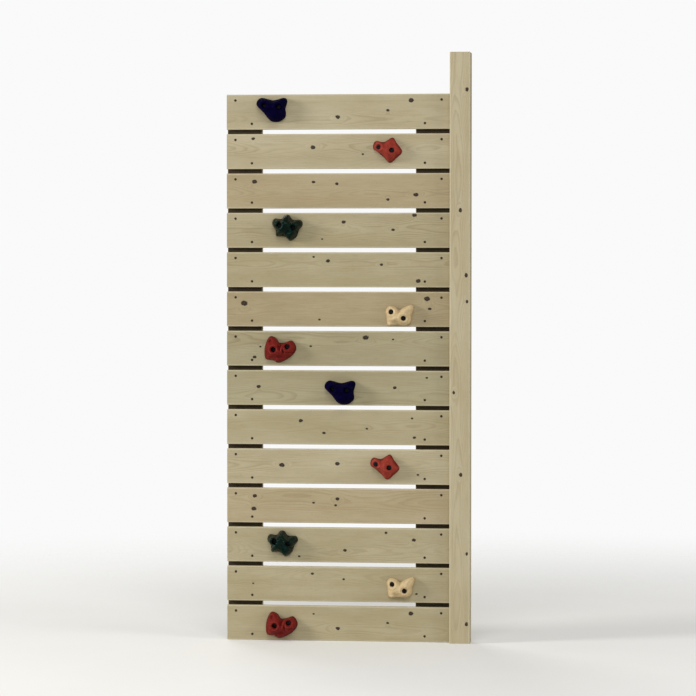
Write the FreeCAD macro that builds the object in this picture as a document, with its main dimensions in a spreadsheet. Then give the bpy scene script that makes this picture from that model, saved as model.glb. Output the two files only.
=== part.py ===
import FreeCAD, Part
import math
import os
import Sketcher
from FreeCAD import Vector

# A climbing wall for a play tower: horizontal boards screwed to two uprights, the right-hand
# one screwed to a square corner post, with moulded holds bolted through the boards.
# Millimetres. The origin is on the ground under the middle of the wall, +Z is up,
# +X is to the climber's right and the climbing face looks along -Y.

doc = FreeCAD.newDocument("climbing_wall")
sheet = doc.addObject("Spreadsheet::Sheet", "sizes")

SIZES = {
    "slat_count": 14,
    "slat_length": 770,
    "slat_width": 120,
    "slat_thick": 20,
    "slat_gap": 15,
    "slat_arris": 3,
    "upright_width": 120,
    "upright_thick": 20,
    "upright_arris": 2,
    "post_side": 70,
    "post_height": 2015,
    "post_arris": 4,
    # countersunk slat screws
    "screw_outer": 30,
    "screw_inner": 87,
    "screw_edge": 20,
    "screw_shank": 4.5,
    "screw_head": 9,
    "screw_tip": 5,
    "tip_cover": 2,
    # long screws through the post into the edge of the right upright
    "post_screw_shank": 6,
    "post_screw_head": 12,
    "post_screw_head_thick": 4,
    "post_screw_sink": 10,
    "post_screw_bite": 50,
    "gaps_per_post_screw": 3,
    # bolts, washers and tee nuts that fix the holds
    "bolt_spacing": 48,
    "bolt_shank": 8,
    "bolt_head": 13,
    "bolt_head_thick": 8,
    "bolt_key": 6,
    "bolt_key_depth": 4,
    "bolt_end_proud": 3.4,
    "washer_across": 16,
    "washer_thick": 1.6,
    "nut_flange": 22,
    "nut_flange_thick": 1.5,
    "nut_barrel": 10,
    "nut_barrel_deep": 9,
    # holds
    "hold_floor": 20,
    "hold_bore": 9,
    "hold_counterbore": 17.5,
    "shield_reach": 58,
    "star_reach": 50,
    "flower_reach": 55,
    "hide_reach": 46,
    "heart_reach": 52,
    # clearances, each on the radius or on one side
    "screw_play": 0.2,
    "thread_play": 0.05,
    "barrel_play": 0.3,
    "tip_play": 0.5,
}
for row, (alias, size) in enumerate(SIZES.items(), start=1):
    sheet.set(f"A{row}", alias)
    sheet.set(f"B{row}", str(size))
    sheet.setAlias(f"B{row}", alias)
doc.recompute()

# Sizes worked out from the driving ones, as expressions that the features are bound to.
SLAT_PITCH = "(sizes.slat_width + sizes.slat_gap)"
PANEL_HEIGHT = f"(sizes.slat_count * {SLAT_PITCH} - sizes.slat_gap)"
PANEL_DEPTH = "(sizes.slat_thick + sizes.upright_thick)"
SCREW_LENGTH = f"({PANEL_DEPTH} - sizes.tip_cover)"
POST_SCREW_GRIP = "(sizes.post_side - sizes.post_screw_sink)"
POST_SCREW_COUNT = "(floor((sizes.slat_count - 2) / sizes.gaps_per_post_screw) + 1)"
POST_SCREW_FIRST = "(sizes.slat_width + sizes.slat_gap / 2)"
POST_SCREW_PITCH = f"(sizes.gaps_per_post_screw * {SLAT_PITCH})"
BOLT_LENGTH = "(sizes.washer_thick + sizes.hold_floor + sizes.slat_thick + sizes.bolt_end_proud)"
NUT_HOLE = "(sizes.nut_barrel + 2 * sizes.barrel_play)"


def value(expression):
    """The number that an expression on the sheet gives now."""
    return float(sheet.evalExpression(expression))


HOLD_REACH = value(
    "max(sizes.shield_reach; sizes.star_reach; sizes.flower_reach; sizes.hide_reach; sizes.heart_reach)"
)
POST_PROUD = value(f"sizes.post_side - {PANEL_DEPTH}")
SLAT_LEFT = -value("sizes.slat_length + sizes.post_side") / 2
SLAT_FRONT = (max(HOLD_REACH, POST_PROUD) - value(PANEL_DEPTH)) / 2
SLAT_BACK = SLAT_FRONT + value("sizes.slat_thick")
POST_LEFT = SLAT_LEFT + value("sizes.slat_length")


# ---------------------------------------------------------------- sketches and features

def new_sketch(body, role, name, offset=None):
    """An empty sketch on one of the body's own origin planes, moved along its normal."""
    plane = next(item for item in body.Origin.OriginFeatures if item.Role == role)
    sketch = body.newObject("Sketcher::SketchObject", name)
    sketch.AttachmentSupport = [(plane, "")]
    sketch.MapMode = "FlatFace"
    if offset:
        sketch.setExpression(".AttachmentOffset.Base.z", offset)
    return sketch


def dimension(sketch, kind, places, name, expression):
    """A dimension of the sketch, bound to an expression."""
    index = sketch.addConstraint(Sketcher.Constraint(kind, *places, value(expression)))
    sketch.renameConstraint(index, name)
    sketch.setExpression(f"Constraints.{name}", expression)


def draw_rectangle(sketch, across, up):
    """A rectangle with one corner on the sketch's origin."""
    far = Vector(value(across), value(up), 0)
    corners = [Vector(0, 0, 0), Vector(far.x, 0, 0), far, Vector(0, far.y, 0)]
    for index, corner in enumerate(corners):
        sketch.addGeometry(Part.LineSegment(corner, corners[(index + 1) % 4]), False)
    for index in range(4):
        sketch.addConstraint(Sketcher.Constraint("Coincident", index, 2, (index + 1) % 4, 1))
        direction = "Vertical" if index % 2 else "Horizontal"
        sketch.addConstraint(Sketcher.Constraint(direction, index))
    sketch.addConstraint(Sketcher.Constraint("Coincident", 0, 1, -1, 1))
    dimension(sketch, "DistanceX", (0, 1, 0, 2), "across", across)
    dimension(sketch, "DistanceY", (1, 1, 1, 2), "up", up)


def draw_circles(sketch, places, diameter):
    """Circles of one diameter, each at (across, up) from the sketch's origin."""
    for number, (across, up) in enumerate(places):
        centre = Vector(value(across), value(up), 0)
        sketch.addGeometry(Part.Circle(centre, Vector(0, 0, 1), value(diameter) / 2), False)
        dimension(sketch, "DistanceX", (-1, 1, number, 3), f"across_{number}", across)
        dimension(sketch, "DistanceY", (-1, 1, number, 3), f"up_{number}", up)
        dimension(sketch, "Diameter", (number,), f"diameter_{number}", diameter)


def pad_board(body, role, across, up, length, arris):
    """A board: a rectangle padded to its length, with its four long edges rounded."""
    section = new_sketch(body, role, "section")
    draw_rectangle(section, across, up)
    pad = body.newObject("PartDesign::Pad", "board")
    pad.Profile = section
    pad.setExpression("Length", length)
    doc.recompute()
    full = value(length)
    long_edges = [
        f"Edge{index}"
        for index, edge in enumerate(pad.Shape.Edges, start=1)
        if abs(edge.Length - full) < 0.001
    ]
    rounded = body.newObject("PartDesign::Fillet", "arrises")
    rounded.Base = (pad, long_edges)
    rounded.setExpression("Radius", arris)
    doc.recompute()
    return rounded


def drill(body, role, name, places, diameter, depth=None, offset=None):
    """Round holes into the board from a sketch plane, against the plane's normal."""
    sketch = new_sketch(body, role, f"{name}_places", offset)
    draw_circles(sketch, places, diameter)
    doc.recompute()
    before = body.Shape.Volume
    hole = body.newObject("PartDesign::Hole", name)
    hole.Profile = sketch
    doc.recompute()
    hole.Threaded = False
    hole.setExpression("Diameter", diameter)
    hole.DrillPoint = "Flat"
    if depth:
        hole.DepthType = "Dimension"
        hole.setExpression("Depth", depth)
    else:
        hole.DepthType = "ThroughAll"
    doc.recompute()
    if not hole.Shape.Volume < before:
        raise RuntimeError(f"{body.Label}: {name} cut nothing")
    return hole


def repeat_up(body, hole, name, pitch, count):
    """Repeats a hole up the board."""
    upward = next(item for item in body.Origin.OriginFeatures if item.Role == "Z_Axis")
    pattern = body.newObject("PartDesign::LinearPattern", name)
    pattern.Originals = [hole]
    pattern.Direction = (upward, [""])
    pattern.Mode = "Spacing"
    pattern.setExpression("Offset", pitch)
    pattern.setExpression("Occurrences", count)
    body.Tip = pattern
    doc.recompute()
    return pattern


def new_body(label):
    body = doc.addObject("PartDesign::Body", label)
    body.Label = label
    return body


# ---------------------------------------------------------------- where the holds go

# Each style's outline is seen from the front, from the middle of the hold: across, up.
# bolt_middle is midway between its two bolts, and slope is the angle of the bolts' line.
STYLES = {
    "shield": {
        "outline": [(-54, 19), (-38, 41), (4, 33), (41, 41), (53, 30), (47, 4), (48, -21),
                    (34, -36), (12, -42), (-8, -35), (-29, -10)],
        "bolt_middle": (2, 12),
        "slope": -6,
    },
    "star": {
        "outline": [(-50, 8), (-41, 31), (-12, 28), (17, 43), (32, 24), (50, -4), (32, -26),
                    (8, -43), (-11, -26), (-32, -8)],
        "bolt_middle": (-6, 5),
        "slope": -13.5,
    },
    "flower": {
        "outline": [(-53, 13), (-45, 31), (-21, 30), (-9, 43), (6, 43), (19, 28), (46, 26),
                    (53, 10), (40, -9), (32, -30), (10, -45), (-10, -30), (-38, -29), (-41, -8)],
        "bolt_middle": (0, 5),
        "slope": -8,
    },
    "hide": {
        "outline": [(-49, 16), (-37, 32), (-17, 30), (-2, 19), (19, 29), (42, 37), (49, 24),
                    (42, -2), (38, -25), (22, -36), (-8, -35), (-40, -36), (-46, -10)],
        "bolt_middle": (-6, 1),
        "slope": -27,
    },
    "heart": {
        "outline": [(-47, 29), (-34, 45), (-15, 39), (-2, 23), (17, 24), (40, 30), (55, 9),
                    (49, -12), (25, -33), (-6, -46), (-27, -37), (-51, -32), (-55, -1)],
        "bolt_middle": (3, 5),
        "slope": 12,
    },
}

# Board number from the ground, side that the place is measured from, distance from that
# upright's inner edge (or from the middle of the wall) and height over the board's middle.
HOLDS = {
    "hold_shield_blue_upper": ("shield", 14, "left", 37, 7),
    "hold_star_red_upper": ("star", 13, "right", 95, 3),
    "hold_flower_green_upper": ("flower", 11, "left", 90, 9),
    "hold_hide_cream_upper": ("hide", 9, "right", 53, -20),
    "hold_heart_red_upper": ("heart", 8, "left", 66, -3),
    "hold_shield_blue_lower": ("shield", 7, "middle", 7, -16),
    "hold_star_red_lower": ("star", 5, "right", 104, 0),
    "hold_flower_green_lower": ("flower", 3, "left", 73, 4),
    "hold_hide_cream_lower": ("hide", 2, "right", 49, -7),
    "hold_heart_red_lower": ("heart", 1, "left", 70, -7),
}


def hold_centre(side, inset, lift):
    """The hold's middle on its board, from the board's lower left corner, as expressions."""
    across = {
        "left": f"sizes.upright_width + {inset}",
        "right": f"sizes.slat_length - sizes.upright_width - {inset}",
        "middle": f"sizes.slat_length / 2 + {inset}",
    }
    return across[side], f"sizes.slat_width / 2 + {lift}"


def bolt_places(style, across="0", up="0"):
    """The two bolts of a hold whose middle is at (across, up), as expressions."""
    middle_x, middle_z = STYLES[style]["bolt_middle"]
    slope = math.radians(STYLES[style]["slope"])
    places = []
    for half in (-0.5, 0.5):
        step_x = round(half * math.cos(slope), 6)
        step_z = round(half * math.sin(slope), 6)
        places.append((
            f"{across} + {middle_x} + sizes.bolt_spacing * {step_x}",
            f"{up} + {middle_z} + sizes.bolt_spacing * {step_z}",
        ))
    return places


# ---------------------------------------------------------------- boards

SCREW_PLACES = [
    ("sizes.screw_outer", "sizes.slat_width - sizes.screw_edge"),
    ("sizes.screw_inner", "sizes.screw_edge"),
    ("sizes.slat_length - sizes.screw_inner", "sizes.screw_edge"),
    ("sizes.slat_length - sizes.screw_outer", "sizes.slat_width - sizes.screw_edge"),
]


def build_slat(number):
    """One climbing board, with countersunk screw holes and the holes of its hold, if any."""
    body = new_body(f"slat_{number:02d}")
    pad_board(body, "YZ_Plane", "sizes.slat_thick", "sizes.slat_width", "sizes.slat_length",
              "sizes.slat_arris")
    screws = drill(body, "XZ_Plane", "screw_holes", SCREW_PLACES,
                   "sizes.screw_shank + 2 * sizes.screw_play")
    screws.HoleCutType = "Countersink"
    screws.HoleCutCustomValues = True
    screws.HoleCutCountersinkAngle = 90
    screws.setExpression("HoleCutDiameter", "sizes.screw_head + 2 * sizes.screw_play")
    for style, row, side, inset, lift in HOLDS.values():
        if row == number:
            drill(body, "XZ_Plane", "hold_holes",
                  bolt_places(style, *hold_centre(side, inset, lift)), NUT_HOLE)
    bottom = (number - 1) * value(SLAT_PITCH)
    body.Placement.Base = Vector(SLAT_LEFT, SLAT_FRONT, bottom)
    return body


def build_upright(label, outer, inner, left):
    """A board that stands behind the slats' ends, with a pilot hole for each slat screw."""
    body = new_body(label)
    pad_board(body, "XY_Plane", "sizes.upright_width", "sizes.upright_thick", PANEL_HEIGHT,
              "sizes.upright_arris")
    places = [(outer, "sizes.slat_width - sizes.screw_edge"), (inner, "sizes.screw_edge")]
    pilots = drill(body, "XZ_Plane", "pilot_holes", places,
                   "sizes.screw_shank + 2 * sizes.thread_play",
                   f"{SCREW_LENGTH} - sizes.slat_thick + sizes.tip_play")
    repeat_up(body, pilots, "pilot_rows", SLAT_PITCH, "sizes.slat_count")
    body.Placement.Base = Vector(left, SLAT_BACK, 0)
    return body


def build_post():
    """The corner post, counterbored from its right face for the long screws."""
    body = new_body("corner_post")
    rounded = pad_board(body, "XY_Plane", "sizes.post_side", "sizes.post_side",
                        "sizes.post_height", "sizes.post_arris")
    top = value("sizes.post_height")
    top_face = next(
        f"Face{index}" for index, face in enumerate(rounded.Shape.Faces, start=1)
        if abs(face.BoundBox.ZMin - top) < 0.001
    )
    eased = body.newObject("PartDesign::Chamfer", "eased_top")
    eased.Base = (rounded, [top_face])
    eased.setExpression("Size", "sizes.post_arris / 2")
    doc.recompute()
    place = ("sizes.post_side - sizes.upright_thick / 2", POST_SCREW_FIRST)
    screws = drill(body, "YZ_Plane", "screw_holes", [place],
                   "sizes.post_screw_shank + 2 * sizes.screw_play", offset="sizes.post_side")
    screws.HoleCutType = "Counterbore"
    screws.HoleCutCustomValues = True
    screws.setExpression("HoleCutDiameter", "sizes.post_screw_head + 4 * sizes.screw_play")
    screws.setExpression("HoleCutDepth", "sizes.post_screw_sink")
    repeat_up(body, screws, "screw_rows", POST_SCREW_PITCH, POST_SCREW_COUNT)
    body.Placement.Base = Vector(POST_LEFT, SLAT_FRONT - POST_PROUD, 0)
    return body


slats = [build_slat(number) for number in range(1, int(value("sizes.slat_count")) + 1)]
left_upright = build_upright("left_upright", "sizes.screw_outer", "sizes.screw_inner", SLAT_LEFT)
right_upright = build_upright(
    "right_upright",
    "sizes.upright_width - sizes.screw_outer",
    "sizes.upright_width - sizes.screw_inner",
    POST_LEFT - value("sizes.upright_width"),
)
edge_holes = drill(right_upright, "YZ_Plane", "edge_holes",
                   [("sizes.upright_thick / 2", POST_SCREW_FIRST)],
                   "sizes.post_screw_shank + 2 * sizes.thread_play",
                   "sizes.post_screw_bite + sizes.tip_play", "sizes.upright_width")
repeat_up(right_upright, edge_holes, "edge_rows", POST_SCREW_PITCH, POST_SCREW_COUNT)
corner_post = build_post()


# ---------------------------------------------------------------- holds

# How a hold narrows from the board to its top: share of its reach, share of its outline.
HOLD_PROFILE = [(0, 1), (0.3, 0.98), (0.62, 0.86), (0.86, 0.66), (1, 0.42)]


def hold_section(outline, level, share):
    """The hold's closed outline at a level above the board."""
    spline = Part.BSplineCurve()
    points = [Vector(x * share, -level, z * share) for x, z in outline]
    spline.interpolate(Points=points, PeriodicFlag=True)
    return Part.Wire(spline.toShape())


def moulded_hold(style):
    """A cast hold on the plane y = 0, with two counterbored bolt holes."""
    reach = value(f"sizes.{style}_reach")
    outline = STYLES[style]["outline"]
    sections = [hold_section(outline, reach * level, share) for level, share in HOLD_PROFILE]
    solid = Part.makeLoft(sections, True, False)
    floor = value("sizes.hold_floor")
    for across, up in bolt_places(style):
        foot = Vector(value(across), 0, value(up))
        outward = Vector(0, -1, 0)
        bore = Part.makeCylinder(value("sizes.hold_bore") / 2, reach, foot, outward)
        seat = foot + outward * floor
        sink = Part.makeCylinder(value("sizes.hold_counterbore") / 2, reach, seat, outward)
        solid = solid.cut(bore.fuse(sink))
    return solid.Solids[0]


def hold_origin(row, side, inset, lift):
    """Where the hold's middle lies on the front of its board."""
    across, up = hold_centre(side, inset, lift)
    bottom = (row - 1) * value(SLAT_PITCH)
    return Vector(SLAT_LEFT + value(across), SLAT_FRONT, bottom + value(up))


def build_hold(label, style, row, side, inset, lift):
    hold = doc.addObject("Part::Feature", label)
    hold.Label = label
    hold.Shape = moulded_hold(style)
    hold.Placement.Base = hold_origin(row, side, inset, lift)
    return hold


holds = [build_hold(label, *place) for label, place in HOLDS.items()]


# ---------------------------------------------------------------- fasteners

def cylinder(name, diameter, height, start="0"):
    """A cylinder along +Z from the height start."""
    piece = doc.addObject("Part::Cylinder", name)
    piece.setExpression("Radius", f"({diameter}) / 2")
    piece.setExpression("Height", height)
    piece.setExpression(".Placement.Base.z", start)
    return piece


def cone(name, first_diameter, last_diameter, height, start="0"):
    """A cone along +Z from the height start."""
    piece = doc.addObject("Part::Cone", name)
    piece.setExpression("Radius1", f"({first_diameter}) / 2")
    piece.setExpression("Radius2", f"({last_diameter}) / 2")
    piece.setExpression("Height", height)
    piece.setExpression(".Placement.Base.z", start)
    return piece


def fuse(name, pieces):
    fused = doc.addObject("Part::MultiFuse", name)
    fused.Shapes = pieces
    fused.Refine = True
    return fused


def cut(name, base, tool):
    left = doc.addObject("Part::Cut", name)
    left.Base = base
    left.Tool = tool
    return left


def slat_screw_pattern():
    """A countersunk wood screw, its head at z = 0 and its tip up +Z."""
    cone_high = "(sizes.screw_head - sizes.screw_shank) / 2"
    head = cone("screw_head_cone", "sizes.screw_head", "sizes.screw_shank", cone_high)
    shank = cylinder("screw_shank_rod", "sizes.screw_shank",
                     f"{SCREW_LENGTH} - sizes.screw_tip - {cone_high}", cone_high)
    tip = cone("screw_tip_cone", "sizes.screw_shank", "0.4", "sizes.screw_tip",
               f"{SCREW_LENGTH} - sizes.screw_tip")
    return fuse("one_slat_screw", [head, shank, tip])


def post_screw_pattern():
    """A long flange-headed screw, the underside of its head at z = 0 and its tip up +Z."""
    length = f"({POST_SCREW_GRIP} + sizes.post_screw_bite)"
    head = cylinder("post_screw_flange", "sizes.post_screw_head", "sizes.post_screw_head_thick",
                    "-sizes.post_screw_head_thick")
    shank = cylinder("post_screw_rod", "sizes.post_screw_shank", f"{length} - sizes.screw_tip")
    tip = cone("post_screw_point", "sizes.post_screw_shank", "0.4", "sizes.screw_tip",
               f"{length} - sizes.screw_tip")
    return fuse("one_post_screw", [head, shank, tip])


def bolt_pattern():
    """A cap screw, the underside of its head at z = 0 and its end up +Z."""
    head = cylinder("bolt_cap", "sizes.bolt_head", "sizes.bolt_head_thick",
                    "-sizes.bolt_head_thick")
    shank = cylinder("bolt_rod", "sizes.bolt_shank", BOLT_LENGTH)
    key = doc.addObject("Part::Prism", "bolt_key_socket")
    key.Polygon = 6
    key.setExpression("Circumradius", "sizes.bolt_key / sqrt(3)")
    key.setExpression("Height", "sizes.bolt_key_depth")
    key.setExpression(".Placement.Base.z", "-sizes.bolt_head_thick")
    return cut("one_hold_bolt", fuse("bolt_blank", [head, shank]), key)


def washer_pattern():
    """A plain washer on z = 0."""
    disc = cylinder("washer_disc", "sizes.washer_across", "sizes.washer_thick")
    eye = cylinder("washer_eye", "sizes.bolt_shank + 2 * sizes.screw_play", "sizes.washer_thick")
    return cut("one_washer", disc, eye)


def tee_nut_pattern():
    """A tee nut: its flange lies on z = 0 and its barrel reaches down -Z into the board."""
    flange = cylinder("nut_disc", "sizes.nut_flange", "sizes.nut_flange_thick")
    barrel = cylinder("nut_sleeve", "sizes.nut_barrel", "sizes.nut_barrel_deep",
                      "-sizes.nut_barrel_deep")
    bore = cylinder("nut_bore", "sizes.bolt_shank + 2 * sizes.thread_play",
                    "sizes.nut_barrel_deep + sizes.nut_flange_thick", "-sizes.nut_barrel_deep")
    return cut("one_tee_nut", fuse("nut_blank", [flange, barrel]), bore)


def place_copies(label, pattern, places, turn):
    """One node of identical fasteners, each turned the same way and set at its place."""
    doc.recompute()
    copies = []
    for place in places:
        copy = pattern.Shape.copy()
        copy.Placement = FreeCAD.Placement(place, turn)
        copies.append(copy)
    group = doc.addObject("Part::Feature", label)
    group.Label = label
    group.Shape = Part.makeCompound(copies)
    return group


INTO_WALL = FreeCAD.Rotation(Vector(0, 0, 1), Vector(0, 1, 0))
INTO_UPRIGHT = FreeCAD.Rotation(Vector(0, 0, 1), Vector(-1, 0, 0))

slat_corners = [
    Vector(SLAT_LEFT, SLAT_FRONT + value("sizes.screw_play"), row * value(SLAT_PITCH))
    for row in range(int(value("sizes.slat_count")))
]
left_screws = [
    corner + Vector(value(across), 0, value(up))
    for corner in slat_corners for across, up in SCREW_PLACES[:2]
]
right_screws = [
    corner + Vector(value(across), 0, value(up))
    for corner in slat_corners for across, up in SCREW_PLACES[2:]
]
post_screws = [
    Vector(POST_LEFT + value(POST_SCREW_GRIP), SLAT_BACK + value("sizes.upright_thick") / 2,
           value(POST_SCREW_FIRST) + number * value(POST_SCREW_PITCH))
    for number in range(int(value(POST_SCREW_COUNT)))
]
bolt_axes = [
    hold_origin(row, side, inset, lift) + Vector(value(across), 0, value(up))
    for style, row, side, inset, lift in HOLDS.values()
    for across, up in bolt_places(style)
]
washer_seat = Vector(0, -value("sizes.hold_floor + sizes.washer_thick"), 0)
board_back = Vector(0, value("sizes.slat_thick"), 0)

one_slat_screw = slat_screw_pattern()
fasteners = [
    place_copies("left_slat_screws", one_slat_screw, left_screws, INTO_WALL),
    place_copies("right_slat_screws", one_slat_screw, right_screws, INTO_WALL),
    place_copies("post_screws", post_screw_pattern(), post_screws, INTO_UPRIGHT),
    place_copies("hold_bolts", bolt_pattern(), [axis + washer_seat for axis in bolt_axes],
                 INTO_WALL),
    place_copies("hold_washers", washer_pattern(), [axis + washer_seat for axis in bolt_axes],
                 INTO_WALL),
    place_copies("tee_nuts", tee_nut_pattern(), [axis + board_back for axis in bolt_axes],
                 INTO_WALL),
]


# ---------------------------------------------------------------- check and export

doc.recompute()
for item in doc.Objects:
    if "Invalid" in item.State or "Error" in item.State:
        raise RuntimeError(f"{item.Label} failed: {item.State}")

sub_parts = slats + [left_upright, right_upright, corner_post] + holds + fasteners
for part in sub_parts:
    if part.Shape.isNull() or not part.Shape.isValid():
        raise RuntimeError(f"{part.Label} has no valid shape")

os.makedirs("parts", exist_ok=True)
for part in sub_parts:
    part.Shape.exportStep(f"parts/{part.Label}.step")
print(f"{len(sub_parts)} nodes")
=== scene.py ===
import math
import random

import bmesh
import bpy
import numpy as np
from mathutils import Matrix, Vector, noise


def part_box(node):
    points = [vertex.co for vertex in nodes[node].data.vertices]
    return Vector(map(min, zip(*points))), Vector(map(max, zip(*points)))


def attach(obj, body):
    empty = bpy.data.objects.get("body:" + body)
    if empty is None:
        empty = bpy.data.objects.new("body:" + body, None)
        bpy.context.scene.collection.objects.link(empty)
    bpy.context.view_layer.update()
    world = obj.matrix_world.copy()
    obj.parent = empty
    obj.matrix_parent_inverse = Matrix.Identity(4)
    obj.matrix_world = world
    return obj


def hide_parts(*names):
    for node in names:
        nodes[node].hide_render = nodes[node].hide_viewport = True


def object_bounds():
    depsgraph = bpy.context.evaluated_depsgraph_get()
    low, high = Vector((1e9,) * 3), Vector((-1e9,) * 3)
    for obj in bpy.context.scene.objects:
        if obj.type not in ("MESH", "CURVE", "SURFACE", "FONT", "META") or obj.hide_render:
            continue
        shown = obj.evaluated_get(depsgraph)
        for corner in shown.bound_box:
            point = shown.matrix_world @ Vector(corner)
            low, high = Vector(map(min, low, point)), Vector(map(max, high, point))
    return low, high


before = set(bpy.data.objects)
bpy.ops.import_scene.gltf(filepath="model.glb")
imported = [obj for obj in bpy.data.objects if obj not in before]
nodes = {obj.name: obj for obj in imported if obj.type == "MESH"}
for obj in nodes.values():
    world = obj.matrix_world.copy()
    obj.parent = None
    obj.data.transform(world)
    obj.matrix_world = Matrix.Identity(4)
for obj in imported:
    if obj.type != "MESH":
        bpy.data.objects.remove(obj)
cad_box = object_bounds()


# ------------------------------------------------------------------ climbing boards
# Fourteen planed pine boards, 120 by 20 mm, pressure-treated, so they are a pale greenish
# beige with small dark knots. Each is sawn flat from a log and screwed on with a small gap.

MM = 0.001


def feed(tree, made, inputs):
    """Gives a shader node its values and links."""
    for key, source in inputs.items():
        if isinstance(source, bpy.types.NodeSocket):
            tree.links.new(source, made.inputs[key])
        else:
            made.inputs[key].default_value = source
    return made


def lay(tree, kind, inputs=None, **settings):
    """Puts one shader node in a tree, with its settings, values and links."""
    made = tree.nodes.new(kind)
    for name, choice in settings.items():
        setattr(made, name, choice)
    return feed(tree, made, inputs or {})


def use_group(tree, group, inputs):
    """Puts a node group in a tree."""
    made = tree.nodes.new("ShaderNodeGroup")
    made.node_tree = group
    return feed(tree, made, inputs)


def sum_of(tree, operation, first, second=0.0, third=0.0):
    """One step of arithmetic on numbers."""
    made = lay(tree, "ShaderNodeMath", {0: first, 1: second, 2: third}, operation=operation)
    return made.outputs[0]


def vector_of(tree, operation, first, second=(0, 0, 0)):
    """One step of arithmetic on vectors."""
    return lay(tree, "ShaderNodeVectorMath", {0: first, 1: second}, operation=operation).outputs[0]


def ease(tree, source, low, high, start=0.0, end=1.0):
    """Turns a value smoothly from start to end as it passes from low to high."""
    made = lay(tree, "ShaderNodeMapRange", {
        "Value": source, "From Min": low, "From Max": high, "To Min": start, "To Max": end,
    }, interpolation_type="SMOOTHSTEP")
    return made.outputs[0]


def cloud(tree, place, stretch, detail=3.0, roughness=0.5):
    """Noise over a place, with a fineness of its own along each axis."""
    stretched = vector_of(tree, "MULTIPLY", place, stretch)
    made = lay(tree, "ShaderNodeTexNoise", {
        "Vector": stretched, "Scale": 1.0, "Detail": detail, "Roughness": roughness,
    })
    return made.outputs[0]


def blend(tree, share, first, second, mode="MIX"):
    """Mixes two colours."""
    made = lay(tree, "ShaderNodeMix", {"Factor": share}, data_type="RGBA", blend_type=mode)
    return feed(tree, made, {6: first, 7: second}).outputs[2]


def new_group(name, inputs, outputs):
    """An empty shader node group with named sockets, and its two end nodes."""
    tree = bpy.data.node_groups.new(name, "ShaderNodeTree")
    for in_out, sockets in (("INPUT", inputs), ("OUTPUT", outputs)):
        for label, kind in sockets.items():
            tree.interface.new_socket(label, in_out=in_out, socket_type=f"NodeSocket{kind}")
    given = tree.nodes.new("NodeGroupInput").outputs
    result = tree.nodes.new("NodeGroupOutput").inputs
    return tree, given, result


def paint(red, green, blue):
    """A colour given as on a colour card, 0 to 255, in the linear values that shaders use."""
    channels = []
    for part in (red, green, blue):
        share = part / 255
        channels.append(share / 12.92 if share <= 0.04045 else ((share + 0.055) / 1.055) ** 2.4)
    return (*channels, 1.0)


def make_knot_group():
    """One knot through a board: its dark disc, its bark ring and how far it bends the rings."""
    tree, given, result = new_group(
        "knot",
        {"Place": "Vector", "Centre": "Vector", "Radius": "Float",
         "Other Knots": "Float", "Other Bark": "Float", "Other Shift": "Float"},
        {"Knot": "Float", "Bark": "Float", "Shift": "Float"},
    )
    away = vector_of(tree, "SUBTRACT", given["Place"], given["Centre"])
    flat = vector_of(tree, "MULTIPLY", away, (0.75, 0.0, 1.0))
    length = lay(tree, "ShaderNodeVectorMath", {0: flat}, operation="LENGTH").outputs["Value"]
    uneven = sum_of(tree, "SUBTRACT", cloud(tree, given["Place"], (150, 60, 150), 2.0), 0.5)
    near = sum_of(tree, "DIVIDE", length, given["Radius"])
    near = sum_of(tree, "ADD", near, sum_of(tree, "MULTIPLY", uneven, 0.9))
    disc = ease(tree, near, 0.7, 1.15, 1.0, 0.0)
    bark = sum_of(tree, "MULTIPLY", ease(tree, near, 0.2, 0.85), ease(tree, near, 0.9, 1.3, 1.0, 0.0))
    fall = sum_of(tree, "POWER", sum_of(tree, "MULTIPLY", near, 0.42), 2.0)
    bulge = sum_of(tree, "EXPONENT", sum_of(tree, "MULTIPLY", fall, -1.0))
    shift = sum_of(tree, "MULTIPLY", bulge, sum_of(tree, "MULTIPLY", given["Radius"], -1.5))
    tree.links.new(sum_of(tree, "MAXIMUM", disc, given["Other Knots"]), result["Knot"])
    tree.links.new(sum_of(tree, "MAXIMUM", bark, given["Other Bark"]), result["Bark"])
    tree.links.new(sum_of(tree, "ADD", shift, given["Other Shift"]), result["Shift"])
    return tree


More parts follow.
